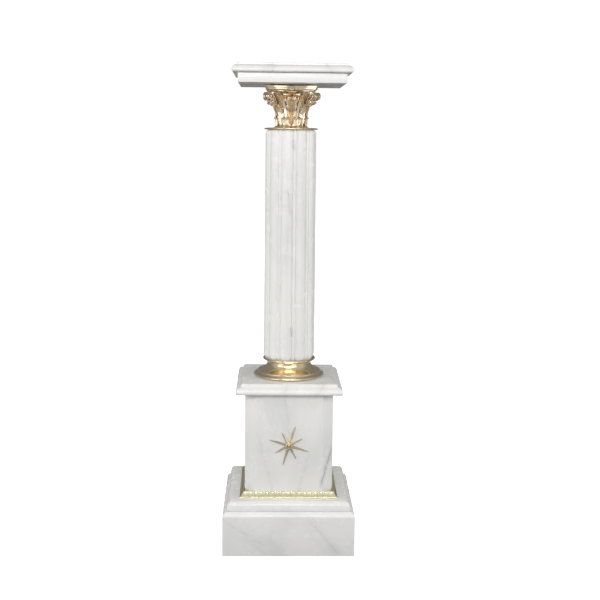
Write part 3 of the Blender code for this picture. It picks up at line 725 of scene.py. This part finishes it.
def ribbon(bm, azimuth, path, widths, thick, flute, swing, cross=12):
    """A band with two flutes, swept along a path of (distance, height) in the upright plane at an azimuth.
    swing turns the azimuth along the way."""
    rings = []
    count = len(path) - 1
    for i, spot in enumerate(path):
        t = i / count
        along = (Vector(path[min(i + 1, count)]) - Vector(path[max(i - 1, 0)])).normalized()
        outward = Vector((-along.y, along.x))
        half = interpolate(widths, t)
        angle = azimuth + interpolate(swing, t)
        radial = Vector((math.cos(angle), math.sin(angle), 0))
        side = Vector((-math.sin(angle), math.cos(angle), 0))
        face, back = [], []
        for j in range(cross + 1):
            v = 2 * j / cross - 1
            sink = flute * (0.5 - 0.5 * math.cos(2 * math.pi * (v + 1)))
            for row, depth in ((face, thick / 2 - sink), (back, -thick / 2)):
                r = spot[0] + outward.x * depth
                z = spot[1] + outward.y * depth
                row.append(tuple(radial * r + side * (v * half) + Vector((0, 0, z))))
        rings.append(face + back[::-1])
    skin(bm, rings)


def ball(bm, centre, radii, azimuth, segments=16):
    """A squashed ball, its axes set along the azimuth."""
    turn = Matrix.Translation(centre) @ Matrix.Rotation(azimuth, 4, "Z") @ Matrix.Diagonal((*radii, 1))
    bmesh.ops.create_uvsphere(bm, u_segments=segments, v_segments=segments // 2 + 2, radius=1, matrix=turn)


def scroll_pair(name, azimuth, path, widths, thick, flute, swing, eye, hub, segments):
    """Two mirrored bands that rise to one corner or face and end in a scroll round a button."""
    bm = bmesh.new()
    for side in (-1, 1):
        turns = [(t, side * turn) for t, turn in swing]
        ribbon(bm, azimuth, path, widths, thick, flute, turns)
        angle = azimuth + turns[-1][1]
        ball(bm, (eye[0] * math.cos(angle), eye[0] * math.sin(angle), eye[1]), hub, angle, segments)
    finish(name, bm, CHASED, BASE, "gilt_bronze", degrees=50)


def make_scrolls():
    """Scrolls on stalks under the corners of the abacus, and slim ones to the middle of each face."""
    corner_radius, inner_radius = 0.0074, 0.0036
    (eye,) = above((0.0668, 0.0588))
    stalk = above((0.0330, 0.0200), (0.0345, 0.0330), (0.0390, 0.0460), (0.0480, 0.0580), (0.0600, 0.0655))
    big = smooth_path([*stalk, (eye[0], eye[1] + corner_radius)], 30)
    big += spiral(eye, corner_radius, 0.0022, turns=1.6, steps=46)[1:]
    (inner_eye,) = above((0.0438, 0.0628))
    rise = above((0.0326, 0.0260), (0.0336, 0.0400), (0.0360, 0.0520), (0.0395, 0.0610))
    small = smooth_path([*rise, (inner_eye[0], inner_eye[1] + inner_radius)], 20)
    small += spiral(inner_eye, inner_radius, 0.0012, turns=1.3, steps=26)[1:]
    big_widths = [(0, 0.0022), (0.20, 0.0038), (0.40, 0.0042), (1, 0.0044)]
    big_swing = [(0, 0.44), (0.20, 0.34), (0.36, 0.14), (0.45, 0.072), (1, 0.072)]
    small_widths = [(0, 0.0016), (0.3, 0.0030), (1, 0.0030)]
    small_swing = [(0, 0.42), (0.4, 0.38), (0.65, 0.24), (1, 0.22)]
    big_button, small_button = (0.0026, 0.0060, 0.0026), (0.0014, 0.0034, 0.0014)
    for k in range(4):
        face = k * math.pi / 2
        scroll_pair(f"capital_scroll_{k + 1}", face + math.pi / 4, big, big_widths, 0.0018, 0.0008,
                    big_swing, eye, big_button, segments=16)
        scroll_pair(f"capital_helix_{k + 1}", face, small, small_widths, 0.0014, 0.0006,
                    small_swing, inner_eye, small_button, segments=12)


ABACUS_RECESS = 0.0065


def abacus_section(inset, z, half=0.0540, horn=0.0090, hollow=0.0125, steps=16):
    """A square with hollowed sides and cut corners, drawn in by inset."""
    half -= inset
    reach = half - horn * 0.5
    ring = []
    for k in range(4):
        c, s = math.cos(k * math.pi / 2), math.sin(k * math.pi / 2)
        for i in range(steps + 1):
            x = -reach + 2 * reach * i / steps
            y = -half + hollow * (1 - (x / reach) ** 2)
            ring.append((c * x - s * y, s * x + c * y, z))
    return ring


def make_abacus():
    """A plate with a band at the top and a hollow under it, and a flower in the middle of each side."""
    low, high = height("capital_abacus")
    sections = [(0.0008, high), (0.0002, high - 0.0003), (0, high - 0.0010), (0, high - 0.0040),
                (0.0003, high - 0.0046), (0.0016, high - 0.0050), (0.0018, high - 0.0056)]
    sections += arc((0.0058, high - 0.0056), (0.0040, 0.0050), 180, 270, 6)[1:]
    sections += [(0.0060, low + 0.0002), (0.0064, low)]
    bm = bmesh.new()
    skin(bm, [abacus_section(inset, z) for inset, z in sections])
    piece = finish("capital_abacus", bm, GILT, BASE, "gilt_bronze", "capital_abacus", degrees=30)
    bore(piece, [(BRONZE_BORE, *THROUGH), (CLAMP_RECESS, high - ABACUS_RECESS, 1.0)])
    for k in range(4):
        make_flower(f"capital_flower_{k + 1}", k * math.pi / 2, (low + high) / 2)


FLOWER_PLACE, FLOWER_SPREAD = 0.0425, 0.0034    # from the axis, and from its middle to its petals
PETALS, PETAL_TURN = 6, 0.3
PETAL, BUD, BUD_RISE = (0.0014, 0.0022, 0.0022), (0.0018, 0.0020, 0.0020), 0.0010


def make_flower(name, azimuth, z):
    """A ring of petals round a bud, on one side of the abacus."""
    outward = Vector((math.cos(azimuth), math.sin(azimuth), 0))
    across, centre = Vector((-outward.y, outward.x, 0)), outward * FLOWER_PLACE + Vector((0, 0, z))
    bm = bmesh.new()
    for i in range(PETALS):
        angle = 2 * math.pi * i / PETALS + PETAL_TURN
        spread = across * math.cos(angle) + Vector((0, 0, math.sin(angle)))
        ball(bm, centre + spread * FLOWER_SPREAD, PETAL, azimuth, 12)
    ball(bm, centre + outward * BUD_RISE, BUD, azimuth, 12)
    finish(name, bm, CHASED, BASE, "gilt_bronze")


# ---------------------------------------------------------------- skirting and star

STRIP_INNER, STRIP_OUTER = 0.0923, 0.1018       # the strips' faces, measured from the column's axis
MITRE_GAP = 0.0001                              # the strips stop about this far short of their mitres
LEAF_PITCH = 0.0113
RELIEF_LOW, RELIEF_HIGH = 0.22, 0.93            # the relief's share of the strip's face


def skirting_points():
    """The strip's section from its outer foot to its top at the die, as (distance, height)."""
    low, high = height("skirting_front")
    rises = [(0, 0), (0, 0.0016), (0.0012, 0.0026), (0.0036, 0.0050), (0.0060, 0.0080), (0.0072, 0.0100)]
    face = [(STRIP_OUTER - inset, low + rise) for inset, rise in rises]
    return [*face, (STRIP_INNER + 0.0014, high - 0.0002), (STRIP_INNER, high)]


def skirting_profile(points, t):
    """(distance from the axis, height) up the strip's face, t from 0 at the slab to 1 at the die."""
    place = t * (len(points) - 1)
    k = min(int(place), len(points) - 2)
    return Vector(points[k]).lerp(Vector(points[k + 1]), place - k)


def leaf_and_dart(x, t):
    """The strip's relief: upright leaves with a split rib, and a dart in each gap."""
    if not RELIEF_LOW < t < RELIEF_HIGH:
        return 0.0
    cell = (x / LEAF_PITCH + 0.5) % 1 - 0.5
    rise = (t - RELIEF_LOW) / (RELIEF_HIGH - RELIEF_LOW)
    width = 0.43 * math.sqrt(max(1 - (rise * 1.02 - 0.28) ** 2 / 0.56, 0))
    inside = 1 - min(abs(cell) / max(width, 0.01), 1) ** 3
    split = 0.35 * math.exp(-(cell / 0.035) ** 2)
    ribs = 0.16 * math.cos(34 * (abs(cell) + 0.42 * rise))
    dart = 0.8 * math.exp(-((0.5 - abs(cell)) / 0.045) ** 2) * (rise < 0.7)
    return 0.0012 * (max(inside - split + ribs * inside, 0) + dart) - 0.0003


def skirting_ring(points, s, rows=30):
    """The front strip's section at a share of its half length, s from -1 to 1."""
    ring = []
    for j in range(rows + 1):
        t = j / rows
        spot = skirting_profile(points, t)
        lift = leaf_and_dart(s * spot.x, t) * min((1 - abs(s)) * 40, 1)
        lift = min(lift, STRIP_OUTER - spot.x)
        rise = max(lift, 0) * 0.5 if t < 0.9 else 0
        ring.append((s * (spot.x - 2 * MITRE_GAP), -(spot.x + lift * 0.7), spot.y + rise))
    behind = s * (STRIP_INNER - MITRE_GAP)
    return [*ring, (behind, -STRIP_INNER, spot.y), (behind, -STRIP_INNER, points[0][1])]


def make_skirting(columns=250):
    points = skirting_points()
    rings = [skirting_ring(points, 2 * i / columns - 1) for i in range(columns + 1)]
    for name, turn in (("front", 0), ("right", 90), ("back", 180), ("left", -90)):
        bm = bmesh.new()
        skin(bm, rings)
        bmesh.ops.remove_doubles(bm, verts=bm.verts, dist=0.000001)
        bm.transform(Matrix.Rotation(math.radians(turn), 4, "Z"))
        finish("skirting_" + name, bm, HIGHLIT_STRIP_GILT, BASE, "gilt_bronze", "skirting_" + name, degrees=50)


STAR_TURN = math.radians(17)
LONG_RAY, SHORT_RAY = (0.0432, 0.0030, 0.0010), (0.0322, 0.0026, 0.0011)    # length, half widths
RAY_EDGE = 0.0007                   # the height of a ray's edges over the die
BOSS_IN, BOSS_MIDDLE, BOSS_OUT = 0.0036, 0.0045, 0.0064
STAR_PETAL = (0.0034, 0.0019, 0.0019)
PINHOLE = 0.0001                    # what a turned profile leaves open on its own axis


def star_matrix():
    """From the star's own plane, X up and Z out of it, to its place on the die."""
    low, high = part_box("star_ornament")
    place = Matrix.Translation(((low.x + high.x) / 2, high.y, (low.z + high.z) / 2))
    lean = math.pi / 2 - STAR_TURN
    return place @ Matrix.Rotation(math.pi / 2, 4, "X") @ Matrix.Rotation(lean, 4, "Z")


def ray_sections(length, root, tip):
    """(distance from the middle, half width, height of the ridge) from the boss to the ray's point."""
    return [(0.0050, tip + (root - tip) * 0.8, 0.0026), (0.0080, root, 0.0026),
            (length * 0.6, (root + tip) / 2, 0.0026 if length * 0.6 < 0.02 else 0.0022),
            (length - 0.0030, tip, 0.0022), (length - 0.0002, 0.00025, 0.0008)]


def make_star():
    """Eight ridged rays round a petalled boss with a countersunk screw."""
    bm = bmesh.new()
    for k in range(8):
        turn = Matrix.Rotation(k * math.pi / 4, 4, "Z")
        rings = []
        for x, half, peak in ray_sections(*(SHORT_RAY if k % 2 else LONG_RAY)):
            side = [(half, 0), (half, RAY_EDGE), (half * 0.25, peak)]
            section = [(x, -y, z) for y, z in side] + [(x, y, z) for y, z in reversed(side)]
            rings.append([turn @ Vector(p) for p in section])
        skin(bm, rings)
    for k in range(8):
        petal = Matrix.Rotation((k + 0.5) * math.pi / 4, 4, "Z") @ Matrix.Translation((0.0060, 0, 0.0012))
        petal = petal @ Matrix.Diagonal((*STAR_PETAL, 1))
        bmesh.ops.create_uvsphere(bm, u_segments=16, v_segments=10, radius=1, matrix=petal)
    rim = arc((BOSS_MIDDLE, 0.0024), (BOSS_OUT - BOSS_MIDDLE, 0.0015), 90, 0, 6)
    turned(bm, [(BOSS_IN, 0.0020), (0.0042, 0.0037), *rim, (BOSS_OUT, 0.0), (BOSS_IN, 0.0)], steps=48)
    bm.transform(star_matrix())
    finish("star_ornament", bm, ANTIQUE, BASE, "gilt_bronze", "star_ornament", degrees=32)


def make_star_screw():
    bm = bmesh.new()
    dome = arc((0.0, 0.0012), (0.0033, 0.0014), 84, 20, 6)
    turned(bm, [(PINHOLE, 0.0026), *dome, (0.0032, 0.0010), (PINHOLE, 0.0010)], steps=40)
    bm.transform(star_matrix())
    finish("star_screw", bm, BRASS, BASE, "brass_screw", "star_screw")


PIN_RADIUS, PIN_HEAD, PIN_LENGTH, PIN_RISE, PIN_OPEN = 0.0006, 0.0012, 0.0110, 0.0004, 0.00002


def make_pins():
    """The skirting's pins, each with a small domed head."""
    dome = arc((0, -0.0002), (PIN_HEAD, 0.0006), 80, 0, 6)
    shank = [(PIN_RADIUS, -0.0003), (PIN_RADIUS, -PIN_LENGTH)]
    profile = [(PIN_OPEN, PIN_RISE), *dome, *shank, (PIN_OPEN, -PIN_LENGTH - PIN_RISE)]
    for number in range(1, 9):
        node = f"skirting_pin_{number}"
        low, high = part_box(node)
        centre, size = (low + high) / 2, high - low
        if size.y > size.x:
            outward = Vector((0, math.copysign(1, centre.y), 0))
        else:
            outward = Vector((math.copysign(1, centre.x), 0, 0))
        head = centre + outward * (max(size.x, size.y) / 2 - PIN_RISE)
        bm = bmesh.new()
        turned(bm, profile, steps=20)
        bm.transform(Matrix.Translation(head) @ outward.to_track_quat("Z", "Y").to_matrix().to_4x4())
        finish(node, bm, BRASS, BASE, "brass_screw", node)


# ---------------------------------------------------------------- hidden hardware

def paint_frame():
    """The hidden hardware keeps the frame's own mesh and gets its finish."""
    finishes = {
        "tie_rod": STEEL, "base_nut": STEEL, "base_washer": STEEL, "capital_spacer": STEEL,
        "clamp_nut": STEEL, "clamp_washer": STEEL, "retaining_washer": STEEL, "lock_nut": STEEL,
        "pivot_bush": BEARING, "thrust_washer": NYLON,
    }
    for name, material in finishes.items():
        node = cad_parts[name]
        node.data.materials.clear()
        node.data.materials.append(material)


# ---------------------------------------------------------------- stage

def area_light(name, place, target, size, power, in_metal=True):
    """A soft rectangular lamp of so many watts. in_metal says whether the bronze mirrors it."""
    data = bpy.data.lights.new(name, "AREA")
    data.shape = "RECTANGLE"
    data.size, data.size_y = size
    data.energy = power
    lamp = bpy.data.objects.new(name, data)
    bpy.context.scene.collection.objects.link(lamp)
    lamp.location = place
    lamp.rotation_euler = (Vector(target) - Vector(place)).to_track_quat("-Z", "Y").to_euler()
    lamp.visible_glossy = in_metal
    lamp.visible_camera = False
    return lamp


FLOOR_HALF = 14
GLOW_FROM, GLOW_TO = 0.25, 1.6      # the floor grows from pale to white over this distance
FLOOR_GLOW = (0.72, 1.0)


def make_floor():
    """A pale floor that glows into the white background away from the object."""
    bm = bmesh.new()
    bmesh.ops.create_grid(bm, x_segments=8, y_segments=8, size=FLOOR_HALF)
    mesh = bpy.data.meshes.new("floor")
    bm.to_mesh(mesh)
    bm.free()
    floor = bpy.data.objects.new("floor", mesh)
    bpy.context.scene.collection.objects.link(floor)
    s = Shader("floor")
    tone = s.mix(s.noise(3, 4), (0.90, 0.90, 0.895, 1), (0.93, 0.93, 0.925, 1))
    glow = s.span(s.vector("LENGTH", s.place), GLOW_FROM, GLOW_TO, *FLOOR_GLOW)
    s.set(Base_Color=tone, Roughness=s.span(s.noise(8, 2), 0.3, 0.7, 0.5, 0.6), Emission_Strength=glow,
          Emission_Color=(1, 1, 1, 1))
    mesh.materials.append(s.material)
    floor.visible_diffuse = floor.visible_glossy = False


def grey_ramp(nodes, links, value, stops):
    """A grey read from (position, brightness) stops."""
    ramp = nodes.new("ShaderNodeValToRGB")
    elements = ramp.color_ramp.elements
    elements[0].position, elements[1].position = stops[0][0], stops[-1][0]
    for place, _ in stops[1:-1]:
        elements.new(place)
    for element, (_, grey) in zip(elements, stops):
        element.color = (grey, grey, grey, 1)
    links.new(value, ramp.inputs[0])
    return ramp.outputs[0]


ROOM_BY_HEIGHT = ((0.0, 0.22), (0.44, 0.24), (0.52, 0.34), (0.62, 0.34), (1.0, 0.27))
MIRRORED_BY_DEPTH = ((0.0, 0.52), (0.40, 0.52), (0.60, 0.26), (1.0, 0.20))


def make_world():
    """White behind the object, a dim studio that lights it and a brighter front that the metal mirrors."""
    world = bpy.data.worlds.new("studio")
    bpy.context.scene.world = world
    world.use_nodes = True
    nodes, links = world.node_tree.nodes, world.node_tree.links
    output, room = nodes["World Output"], nodes["Background"]
    backdrop, mirrored = nodes.new("ShaderNodeBackground"), nodes.new("ShaderNodeBackground")
    backdrop.inputs["Color"].default_value = (1, 1, 1, 1)
    backdrop.inputs["Strength"].default_value = 1.05
    direction, split = nodes.new("ShaderNodeTexCoord"), nodes.new("ShaderNodeSeparateXYZ")
    links.new(direction.outputs["Generated"], split.inputs[0])
    for axis, stops, background in (("Z", ROOM_BY_HEIGHT, room), ("Y", MIRRORED_BY_DEPTH, mirrored)):
        share = nodes.new("ShaderNodeMath")
        share.operation = "MULTIPLY_ADD"
        share.inputs[1].default_value = share.inputs[2].default_value = 0.5
        links.new(split.outputs[axis], share.inputs[0])
        links.new(grey_ramp(nodes, links, share.outputs[0], stops), background.inputs["Color"])
    ray = nodes.new("ShaderNodeLightPath")
    inside, outside = nodes.new("ShaderNodeMixShader"), nodes.new("ShaderNodeMixShader")
    links.new(ray.outputs["Is Glossy Ray"], inside.inputs[0])
    links.new(room.outputs[0], inside.inputs[1])
    links.new(mirrored.outputs[0], inside.inputs[2])
    links.new(ray.outputs["Is Camera Ray"], outside.inputs[0])
    links.new(inside.outputs[0], outside.inputs[1])
    links.new(backdrop.outputs[0], outside.inputs[2])
    links.new(outside.outputs[0], output.inputs["Surface"])


def make_lights():
    """A lamp over the viewer, two softboxes that the bronze mirrors, and three lamps for the marble alone."""
    area_light("front", (-0.1, -2.0, 1.35), (0, 0, 0.45), (1.4, 0.6), 17.5)
    area_light("softbox_left", (-1.65, -1.60, 0.70), (0, 0, 0.5), (1.1, 1.35), 7)
    area_light("softbox_right", (1.00, -2.07, 0.70), (0, 0, 0.5), (1.0, 1.35), 6.5)
    area_light("side_left", (-2.9, -0.6, 1.5), (0, 0, 0.4), (1.2, 1.2), 30, in_metal=False)
    area_light("side_right", (2.9, -0.6, 1.5), (0, 0, 0.4), (1.2, 1.2), 30, in_metal=False)
    area_light("back_fill", (0, 2.6, 1.3), (0, 0, 0.5), (2.4, 1.2), 14, in_metal=False)


CAMERA_PLACE = (-0.0393, -2.2173, 0.8544)
YAW, PITCH, ROLL = 1.588, 8.698, 0.624          # degrees: turned right, tilted down, right side raised
FILM_WIDTH, LENS = 36, 63.5                     # millimetres


def make_camera():
    """The view of the photograph: from the front, a little above, and turned and rolled slightly."""
    data = bpy.data.cameras.new("camera")
    data.sensor_width = FILM_WIDTH
    data.lens = LENS
    camera = bpy.data.objects.new("camera", data)
    bpy.context.scene.collection.objects.link(camera)
    yaw, pitch, roll = math.radians(YAW), math.radians(PITCH), math.radians(ROLL)
    ahead = Vector((math.sin(yaw) * math.cos(pitch), math.cos(yaw) * math.cos(pitch), -math.sin(pitch)))
    right = Vector((math.cos(yaw), -math.sin(yaw), 0))
    up = right.cross(ahead)
    across = math.cos(roll) * right + math.sin(roll) * up
    upright = -math.sin(roll) * right + math.cos(roll) * up
    axes = Matrix((across, upright, -ahead)).transposed().to_4x4()
    camera.matrix_world = Matrix.Translation(CAMERA_PLACE) @ axes
    data.clip_end = 60
    bpy.context.scene.camera = camera


def make_pieces():
    make_base_block()
    make_base_moulding()
    make_die()
    make_die_cap()
    make_shaft()
    make_top()
    make_foot()
    make_necking()
    make_bell()
    make_leaves()
    make_scrolls()
    make_abacus()
    make_skirting()
    make_star()
    make_star_screw()
    make_pins()
    paint_frame()


make_camera()
make_pieces()
make_floor()
make_world()
make_lights()
bpy.context.scene.view_settings.view_transform = "Standard"
bpy.context.scene.cycles.use_denoising = True
